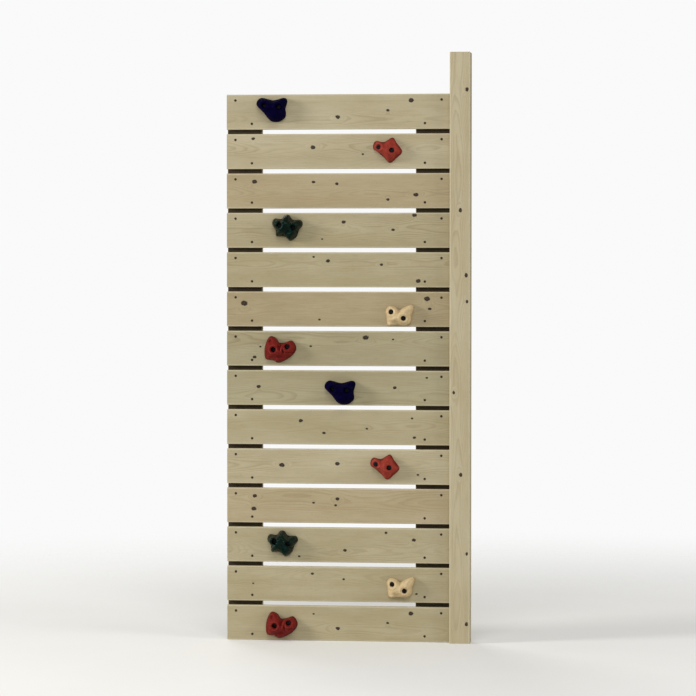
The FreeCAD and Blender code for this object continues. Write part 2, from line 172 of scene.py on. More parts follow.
def make_pine_group():
    """Growth rings round the log's middle line, fibres, streaks and knots of a pine board.
    Place runs along the board in X, through its thickness in Y and across its width in Z."""
    tree, given, result = new_group(
        "pine_grain",
        {"Place": "Vector", "Log Middle": "Vector", "Ring Width": "Float", "Seed": "Float",
         "Knot": "Float", "Bark": "Float", "Shift": "Float", "End Grain": "Float",
         "Pale Wood": "Color", "Dark Wood": "Color", "Streak": "Color", "Streaks": "Float",
         "Knot Wood": "Color", "Ring Strength": "Float"},
        {"Colour": "Color", "Roughness": "Float", "Height": "Float"},
    )
    shuffle = lay(tree, "ShaderNodeCombineXYZ", {
        0: sum_of(tree, "MULTIPLY", given["Seed"], 3.17),
        1: sum_of(tree, "MULTIPLY", given["Seed"], 1.73),
        2: sum_of(tree, "MULTIPLY", given["Seed"], 2.39),
    }).outputs[0]
    place = vector_of(tree, "ADD", given["Place"], shuffle)

    from_pith = vector_of(tree, "SUBTRACT", given["Place"], given["Log Middle"])
    round_log = vector_of(tree, "MULTIPLY", from_pith, (0, 1, 1))
    radius = lay(tree, "ShaderNodeVectorMath", {0: round_log}, operation="LENGTH").outputs["Value"]
    wander = sum_of(tree, "SUBTRACT", cloud(tree, place, (1.6, 5, 5), 2.0), 0.5)
    ripple = sum_of(tree, "SUBTRACT", cloud(tree, place, (9, 70, 70), 2.0), 0.5)
    radius = sum_of(tree, "MULTIPLY_ADD", wander, 0.055, radius)
    radius = sum_of(tree, "MULTIPLY_ADD", ripple, 0.0022, radius)
    radius = sum_of(tree, "ADD", radius, given["Shift"])
    year = sum_of(tree, "FRACT", sum_of(tree, "DIVIDE", radius, given["Ring Width"]))
    late = sum_of(tree, "MULTIPLY", ease(tree, year, 0.35, 0.9), ease(tree, year, 0.92, 1.0, 1.0, 0.0))
    patchy = ease(tree, cloud(tree, place, (2.5, 20, 20), 2.0), 0.3, 0.65, 0.35, 1.0)
    late = sum_of(tree, "MULTIPLY", late, patchy)

    fibre = cloud(tree, place, (16, 850, 850), 3.0, 0.65)
    streak = ease(tree, cloud(tree, place, (1.1, 38, 38), 3.0, 0.6), 0.5, 0.74)
    tone = ease(tree, cloud(tree, place, (3.2, 11, 13), 3.0, 0.6), 0.3, 0.7)
    duct = ease(tree, cloud(tree, place, (60, 1500, 1500), 1.0), 0.67, 0.76)

    colour = blend(tree, tone, given["Pale Wood"], given["Dark Wood"])
    colour = blend(tree, sum_of(tree, "MULTIPLY", streak, given["Streaks"]), colour, given["Streak"])
    ring_share = sum_of(tree, "MULTIPLY", late, given["Ring Strength"])
    colour = blend(tree, ring_share, colour, paint(150, 122, 78), "MULTIPLY")
    fibre_share = ease(tree, fibre, 0.35, 0.75, 0.0, 0.22)
    colour = blend(tree, fibre_share, colour, paint(196, 186, 160), "MULTIPLY")
    colour = blend(tree, sum_of(tree, "MULTIPLY", duct, 0.35), colour, paint(96, 74, 44))
    end_share = sum_of(tree, "MULTIPLY", given["End Grain"], 0.45)
    colour = blend(tree, end_share, colour, paint(120, 104, 72), "MULTIPLY")
    colour = blend(tree, sum_of(tree, "MULTIPLY", given["Knot"], 0.94), colour, given["Knot Wood"])
    colour = blend(tree, sum_of(tree, "MULTIPLY", given["Bark"], 0.85), colour, paint(24, 14, 7))

    dull = sum_of(tree, "MULTIPLY_ADD", late, -0.12, 0.66)
    dull = sum_of(tree, "MULTIPLY_ADD", fibre, 0.12, dull)
    dull = sum_of(tree, "MULTIPLY_ADD", given["Knot"], -0.14, dull)
    relief = sum_of(tree, "MULTIPLY", late, 0.35)
    relief = sum_of(tree, "MULTIPLY_ADD", fibre, 0.75, relief)
    relief = sum_of(tree, "MULTIPLY_ADD", duct, -0.35, relief)
    relief = sum_of(tree, "MULTIPLY_ADD", given["Bark"], -0.6, relief)
    tree.links.new(colour, result["Colour"])
    tree.links.new(dull, result["Roughness"])
    tree.links.new(relief, result["Height"])
    return tree


def make_arris_highlight_group():
    """The rounded long edges of a board, where a painted highlight pales the wood."""
    tree, given, result = new_group(
        "arris_highlight",
        {"Place": "Vector", "Half Size": "Vector", "Edge": "Float"},
        {"Mask": "Float"},
    )
    size = vector_of(tree, "ABSOLUTE", given["Place"])
    inside = lay(tree, "ShaderNodeSeparateXYZ", {0: vector_of(tree, "SUBTRACT", given["Half Size"], size)})
    reach = sum_of(tree, "MULTIPLY_ADD", cloud(tree, given["Place"], (28, 90, 90), 3.0), given["Edge"], 0.0)
    deep = ease(tree, sum_of(tree, "SUBTRACT", inside.outputs[1], reach), 0.0, given["Edge"], 1.0, 0.0)
    wide = ease(tree, sum_of(tree, "SUBTRACT", inside.outputs[2], reach), 0.0, given["Edge"], 1.0, 0.0)
    tree.links.new(sum_of(tree, "MULTIPLY", deep, wide), result["Mask"])
    return tree


knot_group = make_knot_group()
pine_group = make_pine_group()
arris_highlight_group = make_arris_highlight_group()
ROUNDED_EDGE = 4 * MM
GRAIN_RELIEF = 0.35 * MM


def pine(name, middle, half_size, along, seed, look, knots=()):
    """Pressure-treated pine for one board. middle is the board's centre and half_size its half
    length, thickness and width; along says whether its grain runs along X or up Z.
    Each knot is (from the middle along the board, across it, its radius)."""
    made = bpy.data.materials.new(name)
    made.use_nodes = True
    tree = made.node_tree
    shader = tree.nodes["Principled BSDF"]
    place = lay(tree, "ShaderNodeTexCoord").outputs["Object"]
    place = vector_of(tree, "SUBTRACT", place, tuple(middle))
    normal = lay(tree, "ShaderNodeNewGeometry").outputs["Normal"]
    end = lay(tree, "ShaderNodeSeparateXYZ", {0: normal}).outputs["X" if along == "X" else "Z"]
    end_grain = ease(tree, sum_of(tree, "ABSOLUTE", end), 0.7, 0.95)
    if along == "Z":
        parts = lay(tree, "ShaderNodeSeparateXYZ", {0: place})
        place = lay(tree, "ShaderNodeCombineXYZ", {
            0: parts.outputs["Z"], 1: parts.outputs["Y"], 2: parts.outputs["X"],
        }).outputs[0]
    masks = {"Knot": 0.0, "Bark": 0.0, "Shift": 0.0}
    for from_middle, across, radius in knots:
        knot = use_group(tree, knot_group, {
            "Place": place, "Centre": (from_middle, 0, across), "Radius": radius,
            "Other Knots": masks["Knot"], "Other Bark": masks["Bark"], "Other Shift": masks["Shift"],
        })
        masks = {label: knot.outputs[label] for label in masks}
    grain = use_group(tree, pine_group, {
        **look, **masks, "Place": place, "Seed": seed, "End Grain": end_grain,
    })
    arris = use_group(tree, arris_highlight_group, {
        "Place": place, "Half Size": tuple(half_size), "Edge": ROUNDED_EDGE,
    })
    # Painted highlight: the long edges of the board are paled as if lit.
    painted_edge_highlight = sum_of(tree, "MULTIPLY", arris.outputs["Mask"], 0.5)
    colour = blend(tree, painted_edge_highlight, grain.outputs["Colour"], paint(204, 194, 166))
    bump = lay(tree, "ShaderNodeBump", {
        "Strength": 0.9, "Distance": GRAIN_RELIEF, "Height": grain.outputs["Height"],
    })
    tree.links.new(colour, shader.inputs["Base Color"])
    tree.links.new(grain.outputs["Roughness"], shader.inputs["Roughness"])
    tree.links.new(bump.outputs["Normal"], shader.inputs["Normal"])
    shader.inputs["Specular IOR Level"].default_value = 0.32
    return made


def give_finish(board, finish):
    """Makes finish the only material of a board."""
    board.data.materials.clear()
    board.data.materials.append(finish)


GREENISH = {"Pale Wood": paint(178, 168, 138), "Dark Wood": paint(167, 156, 123)}
GREYISH = {"Pale Wood": paint(169, 161, 131), "Dark Wood": paint(159, 149, 117)}
TAN = {"Pale Wood": paint(179, 166, 135), "Dark Wood": paint(169, 154, 121)}
DULL_TAN = {"Pale Wood": paint(172, 158, 126), "Dark Wood": paint(160, 145, 112)}
PALE = {"Pale Wood": paint(186, 176, 147), "Dark Wood": paint(175, 164, 133)}
KNOT_WOOD = paint(44, 27, 13)

# From the ground up: the tone of each board, and its knots as (mm from its left end, mm above
# its bottom edge, radius in mm).
BOARDS = [
    (GREENISH, [(636, 98, 6), (384, 43, 5), (556, 64, 3.5), (300, 92, 2.5)]),
    (GREENISH, [(296, 96, 3.5), (404, 78, 3), (655, 30, 3), (90, 60, 2.5)]),
    (GREENISH, [(408, 42, 4.5), (550, 104, 3.5), (646, 80, 5), (250, 20, 3)]),
    (TAN, [(96, 92, 5.5), (92, 48, 6), (382, 84, 5), (376, 62, 3.5), (300, 70, 3)]),
    (PALE, [(190, 64, 6.5), (382, 70, 5.5), (660, 34, 3)]),
    (GREENISH, [(256, 82, 5), (336, 40, 4), (484, 56, 3), (648, 26, 4), (640, 92, 3)]),
    (GREYISH, [(580, 62, 4.5), (110, 64, 5), (690, 96, 3)]),
    (GREYISH, [(480, 98, 7), (290, 68, 3), (96, 30, 4.5), (116, 66, 3), (574, 92, 3)]),
    (DULL_TAN, [(60, 80, 8), (690, 96, 7), (700, 62, 4), (320, 24, 3)]),
    (GREENISH, [(350, 90, 5), (534, 78, 4), (660, 22, 6), (300, 104, 3)]),
    (GREENISH, [(404, 88, 5), (574, 62, 4), (648, 112, 5.5), (330, 30, 2.5)]),
    (TAN, [(96, 92, 6.5), (300, 90, 4), (380, 84, 4.5), (652, 46, 6), (556, 30, 4)]),
    (PALE, [(298, 74, 6), (470, 50, 3), (92, 104, 4.5)]),
    (PALE, [(636, 98, 6.5), (384, 42, 5.5), (556, 64, 4)]),
]

pine_chance = random.Random(4)
for number, (tone, knots) in enumerate(BOARDS, start=1):
    slat = nodes[f"slat_{number:02d}"]
    low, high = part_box(slat.name)
    middle = (low + high) / 2
    half_size = (high - low) / 2
    look = {
        **tone,
        "Log Middle": (0, pine_chance.uniform(35, 75) * MM, pine_chance.uniform(-30, 30) * MM),
        "Ring Width": pine_chance.uniform(1.9, 3.0) * MM,
        "Streak": paint(172, 150, 115) if tone is TAN else paint(162, 151, 116),
        "Streaks": pine_chance.uniform(0.35, 0.6) if tone is TAN else pine_chance.uniform(0.2, 0.4),
        "Knot Wood": KNOT_WOOD,
        "Ring Strength": pine_chance.uniform(0.16, 0.26),
    }
    placed = [
        (along * MM - half_size.x, up * MM - half_size.z, radius * MM)
        for along, up, radius in knots
    ]
    finish = pine(f"pine_slat_{number:02d}", middle, half_size, "X", number * 1.37, look, placed)
    give_finish(slat, finish)


# ------------------------------------------------------------------ uprights
# Two boards of the same pine stand behind the ends of the climbing boards, which are screwed
# to them. Their front faces carry painted shade, as dark as the shadowed gaps between the boards.

upright_look = {
    "Pale Wood": paint(176, 165, 134), "Dark Wood": paint(164, 152, 118),
    "Ring Width": 3.2 * MM, "Streak": paint(158, 144, 108), "Streaks": 0.35,
    "Knot Wood": KNOT_WOOD, "Ring Strength": 0.26,
}
# Middle line of the log (mm across), and knots as (mm up from the middle, mm across, radius).
for label, pith, knots in (
    ("left_upright", -22, [(-610, 25, 7), (-180, -30, 5), (330, 12, 8), (720, -18, 5)]),
    ("right_upright", 18, [(-760, -12, 6), (-340, 34, 5), (90, -28, 7), (560, 20, 6)]),
):
    low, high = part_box(label)
    middle = (low + high) / 2
    size = (high - low) / 2
    half_size = Vector((size.z, size.y, size.x))
    placed = [(along * MM, across * MM, radius * MM) for along, across, radius in knots]
    look = {**upright_look, "Log Middle": (0, -48 * MM, pith * MM)}
    finish = pine(f"pine_{label}", middle, half_size, "Z", 20 + pith, look, placed)
    tree = finish.node_tree
    unshaded_wood = tree.nodes["Principled BSDF"].inputs["Base Color"].links[0].from_socket
    # Painted shade: the front faces, seen in the gaps between the boards, are darkened.
    normal = lay(tree, "ShaderNodeSeparateXYZ", {0: lay(tree, "ShaderNodeNewGeometry").outputs["Normal"]})
    front = ease(tree, normal.outputs["Y"], -0.85, -0.97, 0.0, 0.95)
    patch = cloud(tree, lay(tree, "ShaderNodeTexCoord").outputs["Object"], (30, 30, 14), 3.0)
    painted_gap_shade = blend(tree, patch, paint(58, 46, 24), paint(92, 78, 46))
    feed(tree, tree.nodes["Principled BSDF"], {
        "Base Color": blend(tree, front, unshaded_wood, painted_gap_shade, "MULTIPLY"),
    })
    give_finish(nodes[label], finish)


# ------------------------------------------------------------------ slat screws
# Two countersunk deck screws hold each end of every board to the upright behind it. They are
# hardened steel with a dark weatherproof coat and a six-lobed recess in the head.

def separate_boxes(node):
    """The box of each screw, bolt, nut or washer in a set, in order of height and then across."""
    build = bmesh.new()
    build.from_mesh(nodes[node].data)
    bmesh.ops.remove_doubles(build, verts=build.verts, dist=0.01 * MM)
    unseen = set(build.verts)
    boxes = []
    while unseen:
        waiting = [unseen.pop()]
        corners = []
        while waiting:
            vertex = waiting.pop()
            corners.append(vertex.co.copy())
            for edge in vertex.link_edges:
                other = edge.other_vert(vertex)
                if other in unseen:
                    unseen.remove(other)
                    waiting.append(other)
        corners = np.array(corners)
        boxes.append((Vector(corners.min(axis=0)), Vector(corners.max(axis=0))))
    build.free()
    return sorted(boxes, key=lambda box: (round(box[0].z, 4), round(box[0].x, 4)))


def ring_faces(rings, segments, closed=False):
    """Quads between rings of vertices that lie one after another."""
    faces = []
    for ring in range(rings if closed else rings - 1):
        low, high = ring * segments, (ring + 1) % rings * segments
        for step in range(segments):
            ahead = (step + 1) % segments
            faces.append((low + step, low + ahead, high + ahead, high + step))
    return faces


def turned(profile, segments, closed=False):
    """A body turned about Z from (height, radius) pairs, where a radius may differ around the
    turn. It is capped at both ends, or closed on itself like a washer."""
    turn = np.arange(segments) * 2 * math.pi / segments
    rings = [
        np.column_stack((radius * np.cos(turn), radius * np.sin(turn), height + 0 * turn))
        for height, radius in profile
    ]
    faces = ring_faces(len(rings), segments, closed)
    if not closed:
        faces.append(tuple(reversed(range(segments))))
        faces.append(tuple(range((len(rings) - 1) * segments, len(rings) * segments)))
    return np.vstack(rings), faces


def six_lobes(segments, radius):
    """Radii of a six-lobed recess round a turn."""
    turn = np.arange(segments) * 2 * math.pi / segments
    return radius * (0.87 + 0.13 * np.cos(6 * turn))


def thread(start, end, outer, pitch, depth, segments):
    """Profile of a screw thread from start to end, running out at both ends."""
    turn = np.arange(segments) / segments
    profile = []
    for height in np.arange(start, end, pitch / 5):
        wave = np.abs(((height / pitch - turn) % 1.0) * 2 - 1)
        run_out = min(1.0, (height - start) / pitch, (end - height) / pitch)
        profile.append((height, outer - depth * (1 - wave * run_out)))
    return profile


def screw_point(length, shank):
    """Profile of the tapered point of a wood screw."""
    return [
        (length - TIP_LENGTH * (1 - share), shank * SCREW_CORE * (1 - share) + 0.2 * MM)
        for share in (0.0, 0.5, 0.85, 1.0)
    ]


def outward(points, sides):
    """The faces of a closed solid, turned round if they face into it."""
    volume = 0.0
    for side in sides:
        corner = points[side[0]]
        for second, third in zip(side[1:], side[2:]):
            volume += np.dot(corner, np.cross(points[second], points[third]))
    return sides if volume > 0 else [tuple(reversed(side)) for side in sides]


def placed_copies(solids, places, turned_to, chance):
    """Copies of closed solids, each spun by chance about its own axis and set at its place."""
    solids = [(points, outward(points, sides)) for points, sides in solids]
    vertices = []
    faces = []
    for place in places:
        spin = turned_to @ Matrix.Rotation(chance.uniform(0, 2 * math.pi), 3, "Z")
        for points, sides in solids:
            first = len(vertices)
            vertices.extend(np.array(points) @ np.array(spin).T + np.array(place))
            faces.extend(tuple(first + index for index in side) for side in sides)
    return vertices, faces


def mesh_piece(name, vertices, faces, finish, node):
    """A detailed piece in place of a plain one, smooth except at its sharp edges."""
    build = bmesh.new()
    corners = [build.verts.new(vertex) for vertex in vertices]
    for face in faces:
        build.faces.new([corners[index] for index in face])
    if build.calc_volume(signed=True) < 0:
        bmesh.ops.reverse_faces(build, faces=build.faces)
    mesh = bpy.data.meshes.new(name)
    build.to_mesh(mesh)
    build.free()
    mesh.materials.append(finish)
    mesh.shade_smooth()
    mesh.set_sharp_from_angle(angle=math.radians(35))
    piece = bpy.data.objects.new(name, mesh)
    bpy.context.scene.collection.objects.link(piece)
    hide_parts(node)
    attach(piece, "root")
    return piece


def make_steel_group():
    """Steel under a coat: cloudy, with scuffs along its edges, spots of dirt and painted shade in its
    hollows.
    """
    tree, given, result = new_group(
        "coated_steel",
        {"Place": "Vector", "Pointiness": "Float", "Coat Colour": "Color", "Bare Colour": "Color",
         "Dirt And Shade Colour": "Color", "Roughness": "Float", "Wear": "Float"},
        {"Colour": "Color", "Roughness": "Float", "Height": "Float"},
    )
    mottle = cloud(tree, given["Place"], (420, 420, 420), 3.0, 0.6)
    grit = cloud(tree, given["Place"], (2600, 2600, 2600), 2.0, 0.6)
    edge = ease(tree, given["Pointiness"], 0.53, 0.62)
    scuffed = sum_of(tree, "MULTIPLY", sum_of(tree, "MULTIPLY", edge, given["Wear"]),
                     ease(tree, grit, 0.35, 0.6))
    # Painted shade: darker in the hollows, found by pointiness.
    painted_hollow_shade = ease(tree, given["Pointiness"], 0.47, 0.4)
    dirty = sum_of(tree, "MULTIPLY", ease(tree, mottle, 0.4, 0.7), 0.35)
    colour = blend(tree, dirty, given["Coat Colour"], given["Dirt And Shade Colour"])
    colour = blend(tree, scuffed, colour, given["Bare Colour"])
    colour = blend(tree, sum_of(tree, "MULTIPLY", painted_hollow_shade, 0.6), colour, given["Dirt And Shade Colour"])
    dull = sum_of(tree, "MULTIPLY_ADD", mottle, 0.22, given["Roughness"])
    tree.links.new(colour, result["Colour"])
    tree.links.new(dull, result["Roughness"])
    tree.links.new(sum_of(tree, "MULTIPLY_ADD", mottle, 0.5, grit), result["Height"])
    return tree


steel_group = make_steel_group()


def steel(name, coat, bare, dirt_and_shade, roughness, wear, metallic):
    """A steel finish from its coat, the bare metal under it, the dirt on it and painted shade in its
    hollows.
    """
    made = bpy.data.materials.new(name)
    made.use_nodes = True
    tree = made.node_tree
    skin = use_group(tree, steel_group, {
        "Place": lay(tree, "ShaderNodeTexCoord").outputs["Object"],
        "Pointiness": lay(tree, "ShaderNodeNewGeometry").outputs["Pointiness"],
        "Coat Colour": coat, "Bare Colour": bare, "Dirt And Shade Colour": dirt_and_shade,
        "Roughness": roughness, "Wear": wear,
    })
    bump = lay(tree, "ShaderNodeBump", {
        "Strength": 0.4, "Distance": 0.05 * MM, "Height": skin.outputs["Height"],
    })
    feed(tree, tree.nodes["Principled BSDF"], {
        "Base Color": skin.outputs["Colour"], "Roughness": skin.outputs["Roughness"],
        "Normal": bump.outputs["Normal"], "Metallic": metallic,
    })
    return made


INTO_WALL = Matrix(((1, 0, 0), (0, 0, 1), (0, -1, 0)))
coated_screw = steel("coated_screw_steel", paint(60, 52, 42), paint(150, 144, 132),
                     paint(30, 24, 18), 0.48, 0.5, 0.55)
SCREW_CORE = 0.72
TIP_LENGTH = 5 * MM
DECK_PITCH = 2.4 * MM
DECK_RECESS = 2.4 * MM
screw_chance = random.Random(11)
for side in ("left", "right"):
    boxes = separate_boxes(f"{side}_slat_screws")
    low, high = boxes[0]
    head = (high.x - low.x) / 2
    length = high.y - low.y
    shank = head / 2
    recess = six_lobes(36, DECK_RECESS)
    countersunk = turned([
        (head * 0.9, shank * 0.6), (head - shank, shank * 0.98), (0.45 * MM, head - 0.3 * MM),
        (0.2 * MM, head), (0.0, head - 0.15 * MM), (0.0, head * 0.62), (0.02 * MM, recess * 1.06),
        (0.2 * MM, recess), (1.9 * MM, recess * 0.94), (2.05 * MM, recess * 0.5),
    ], 36)
    cut_start = head - shank + 6 * MM
    rod = turned(
        [(head * 0.6, shank * 0.9), (cut_start - 0.4 * MM, shank * 0.9)]
        + thread(cut_start, length - TIP_LENGTH, shank, DECK_PITCH, shank * (1 - SCREW_CORE), 12)
        + screw_point(length, shank), 12)
    places = [((low.x + high.x) / 2, low.y, (low.z + high.z) / 2) for low, high in boxes]
    vertices, faces = placed_copies([countersunk, rod], places, INTO_WALL, screw_chance)
    mesh_piece(f"deck_screws_{side}", vertices, faces, coated_screw,
               f"{side}_slat_screws")


# ------------------------------------------------------------------ corner post
# The 70 mm square post at the right is sawn from the middle of a small log, so its rings are
# close and its top end shows the pith. Its right face is counterbored for five long screws.

low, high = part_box("corner_post")
size = (high - low) / 2
half_size = Vector((size.z, size.y, size.x))
post_knots = [(-940, 24, 5), (-700, 25, 4), (-430, 4, 5), (160, 25, 4), (250, 22, 5),
              (470, 2, 5), (880, 24, 5), (-150, -20, 4)]
post_look = {
    "Pale Wood": paint(188, 178, 149), "Dark Wood": paint(178, 166, 135),
    "Log Middle": (0, 18 * MM, -10 * MM), "Ring Width": 2.4 * MM, "Streak": paint(170, 158, 122),
    "Streaks": 0.25, "Knot Wood": KNOT_WOOD, "Ring Strength": 0.2,
}
placed = [(along * MM, across * MM, radius * MM) for along, across, radius in post_knots]
finish = pine("pine_corner_post", (low + high) / 2, half_size, "Z", 51.3, post_look, placed)
give_finish(nodes["corner_post"], finish)


# ------------------------------------------------------------------ post screws
# Five long flange-headed timber screws go in from the right face of the post, across it, and
# bite into the edge of the right upright. Each head lies at the bottom of its counterbore.

INTO_UPRIGHT = Matrix(((0, 0, -1), (0, 1, 0), (1, 0, 0)))
TIMBER_PITCH = 3.4 * MM
TIMBER_RECESS = 2.9 * MM
TIMBER_THREAD = 50 * MM
boxes = separate_boxes("post_screws")
low, high = boxes[0]
flange = (high.z - low.z) / 2
length = high.x - low.x
shank = flange / 2
recess = six_lobes(48, TIMBER_RECESS)
flange_head = turned([
    (4.6 * MM, shank * 0.8), (4.0 * MM, shank), (4.0 * MM, flange * 0.72), (2.9 * MM, flange - 0.1 * MM),
    (2.5 * MM, flange), (2.1 * MM, flange - 0.15 * MM), (1.5 * MM, flange * 0.74),
    (0.45 * MM, flange * 0.66), (0.05 * MM, flange * 0.6), (0.0, recess * 1.05), (0.2 * MM, recess),
    (2.8 * MM, recess * 0.94), (3.0 * MM, recess * 0.5),
], 48)
cut_start = length - TIMBER_THREAD
rod = turned(
    [(4.2 * MM, shank * 0.85), (cut_start - 0.5 * MM, shank * 0.85)]
    + thread(cut_start, length - TIP_LENGTH, shank, TIMBER_PITCH, shank * (1 - SCREW_CORE), 16)
    + screw_point(length, shank), 16)
places = [(high.x, (low.y + high.y) / 2, (low.z + high.z) / 2) for low, high in boxes]
vertices, faces = placed_copies([flange_head, rod], places, INTO_UPRIGHT, screw_chance)
mesh_piece("timber_screws", vertices, faces, coated_screw, "post_screws")


# ------------------------------------------------------------------ tee nuts
# A pressed and zinc-plated tee nut sits in the back of the board behind every hold bolt. Four
# prongs are cut and folded out of its flange, which leaves four notches round the rim.

zinc = steel("zinc_plate", paint(168, 170, 168), paint(196, 196, 192), paint(104, 104, 98),
             0.34, 0.3, 1.0)
boxes = separate_boxes("tee_nuts")
low, high = boxes[0]
flange = (high.x - low.x) / 2
BORE_OF_NUT = 4.05 * MM
BARREL = 5.0 * MM
SHEET = 1.5 * MM
PRONG_TOP = 0.9 * MM
PRONG_TIP = -7.5 * MM
SEGMENTS_OF_NUT = 64
turn = np.arange(SEGMENTS_OF_NUT) * 2 * math.pi / SEGMENTS_OF_NUT
notch = flange * 0.7
notched = np.where(np.cos(4 * turn) > 0.72, notch, flange)
barrel_end = -(high.y - low.y - SHEET)
tee_nut = turned([
    (SHEET, BORE_OF_NUT + 0.4 * MM), (SHEET - 0.1 * MM, BARREL + 0.4 * MM), (SHEET, notched - 0.3 * MM),
    (SHEET - 0.25 * MM, notched), (0.1 * MM, notched), (0.0, notched - 0.1 * MM), (0.0, BARREL + 0.4 * MM),
    (-0.5 * MM, BARREL), (barrel_end + 0.3 * MM, BARREL), (barrel_end, BARREL - 0.3 * MM),
    (barrel_end, BORE_OF_NUT + 0.3 * MM), (barrel_end + 0.3 * MM, BORE_OF_NUT),
    (SHEET - 0.4 * MM, BORE_OF_NUT),
], SEGMENTS_OF_NUT, closed=True)
nut_parts = [tee_nut]
for quarter in range(4):
    square = Matrix.Rotation(quarter * math.pi / 2, 3, "Z")
    prong = [
        (notch - 1.3 * MM, -1.9 * MM, PRONG_TOP), (notch - 0.1 * MM, -1.9 * MM, PRONG_TOP),
        (notch - 0.1 * MM, 1.9 * MM, PRONG_TOP), (notch - 1.3 * MM, 1.9 * MM, PRONG_TOP),
        (notch - 0.9 * MM, -0.3 * MM, PRONG_TIP), (notch - 0.3 * MM, -0.3 * MM, PRONG_TIP),
        (notch - 0.3 * MM, 0.3 * MM, PRONG_TIP), (notch - 0.9 * MM, 0.3 * MM, PRONG_TIP),
    ]
    sides = ring_faces(2, 4) + [(3, 2, 1, 0), (4, 5, 6, 7)]
    nut_parts.append((np.array(prong) @ np.array(square).T, sides))
nut_chance = random.Random(21)
places = [((low.x + high.x) / 2, high.y - SHEET, (low.z + high.z) / 2) for low, high in boxes]
vertices, faces = placed_copies(nut_parts, places, INTO_WALL, nut_chance)
mesh_piece("pressed_tee_nuts", vertices, faces, zinc, "tee_nuts")


# ------------------------------------------------------------------ climbing holds
# Ten holds cast in coloured resin in five shapes, two of each. Each is a lobed boulder about
# 105 mm wide with a flat back, two counterbored bolt holes and shallow dishes for the fingers.

def closed_curve(points, steps=24):
    """A smooth closed line through points, as an array."""
    points = np.array(points, float)
    line = []
    for index in range(len(points)):
        before, start, end, after = (points[(index + step) % len(points)] for step in (-1, 0, 1, 2))
        for share in np.linspace(0, 1, steps, endpoint=False):
            line.append(0.5 * (
                2 * start + (end - before) * share
                + (2 * before - 5 * start + 4 * end - after) * share ** 2
                + (3 * start - before - 3 * end + after) * share ** 3
            ))
    return np.array(line)


def drill_out(piece, places, radius, start, end):
    """Cuts round holes along Y, from start to end, and applies the cut."""
    for across, up in places:
        cutter_mesh = bpy.data.meshes.new("drill")
        build = bmesh.new()
        bmesh.ops.create_cone(build, cap_ends=True, segments=64, radius1=radius, radius2=radius,
                              depth=end - start)
        build.to_mesh(cutter_mesh)
        build.free()
        cutter = bpy.data.objects.new("drill", cutter_mesh)
        bpy.context.scene.collection.objects.link(cutter)
        cutter.rotation_euler = (math.pi / 2, 0, 0)
        cutter.location = (across, (start + end) / 2, up)
        cut = piece.modifiers.new("drill", "BOOLEAN")
        cut.operation = "DIFFERENCE"
        cut.solver = "MANIFOLD"
        cut.object = cutter
        bpy.context.view_layer.update()
        result = piece.evaluated_get(bpy.context.evaluated_depsgraph_get())
        cut_mesh = bpy.data.meshes.new_from_object(result)
        piece.modifiers.remove(cut)
        piece.data = cut_mesh
        bpy.data.objects.remove(cutter)


def make_resin_group():
    """Cast resin: a sandy skin, mottled dirt, flecks, scuffed high edges and painted shade in hollows and
    round the foot.
    """
    tree, given, result = new_group(
        "cast_resin",
        {"Place": "Vector", "Colour": "Color", "Scuffed": "Color", "Dirt And Shade": "Color",
         "Board": "Float", "Pointiness": "Float", "Roughness": "Float", "Flecks": "Float"},
        {"Colour": "Color", "Roughness": "Float", "Height": "Float"},
    )
    depth = lay(tree, "ShaderNodeSeparateXYZ", {0: given["Place"]}).outputs["Y"]
    off_board = sum_of(tree, "SUBTRACT", given["Board"], depth)
    uneven = cloud(tree, given["Place"], (90, 90, 90), 3.0, 0.6)
    off_board = sum_of(tree, "MULTIPLY_ADD", uneven, -10 * MM, off_board)
    # Painted shade: darker round the foot, where the hold meets the board.
    foot = ease(tree, off_board, -2 * MM, 13 * MM, 0.65, 0.0)
    sand = cloud(tree, given["Place"], (900, 900, 900), 2.0, 0.6)
    mottle = cloud(tree, given["Place"], (70, 70, 70), 3.0, 0.6)
    fleck = ease(tree, cloud(tree, given["Place"], (420, 420, 420), 1.0), 0.66, 0.7)
    patchy = ease(tree, cloud(tree, given["Place"], (160, 160, 160), 3.0, 0.7), 0.35, 0.65)
    edge = sum_of(tree, "MULTIPLY", ease(tree, given["Pointiness"], 0.508, 0.55), patchy)
    # Painted shade: darker in the hollows, found by pointiness.
    painted_hollow_shade = ease(tree, given["Pointiness"], 0.492, 0.45)
    colour = blend(tree, ease(tree, mottle, 0.3, 0.7, 0.0, 0.3), given["Colour"], given["Dirt And Shade"])
    colour = blend(tree, sum_of(tree, "MULTIPLY", fleck, given["Flecks"]), colour, given["Scuffed"])
    colour = blend(tree, sum_of(tree, "MULTIPLY", edge, 0.6), colour, given["Scuffed"])
    colour = blend(tree, sum_of(tree, "MULTIPLY", painted_hollow_shade, 0.75), colour, given["Dirt And Shade"])
    colour = blend(tree, foot, colour, given["Dirt And Shade"])
    dull = sum_of(tree, "MULTIPLY_ADD", mottle, 0.16, given["Roughness"])
    dull = sum_of(tree, "MULTIPLY_ADD", edge, 0.15, dull)
    relief = sum_of(tree, "MULTIPLY_ADD", mottle, 0.5, sand)
    tree.links.new(colour, result["Colour"])
    tree.links.new(dull, result["Roughness"])
    tree.links.new(relief, result["Height"])
    return tree


resin_group = make_resin_group()


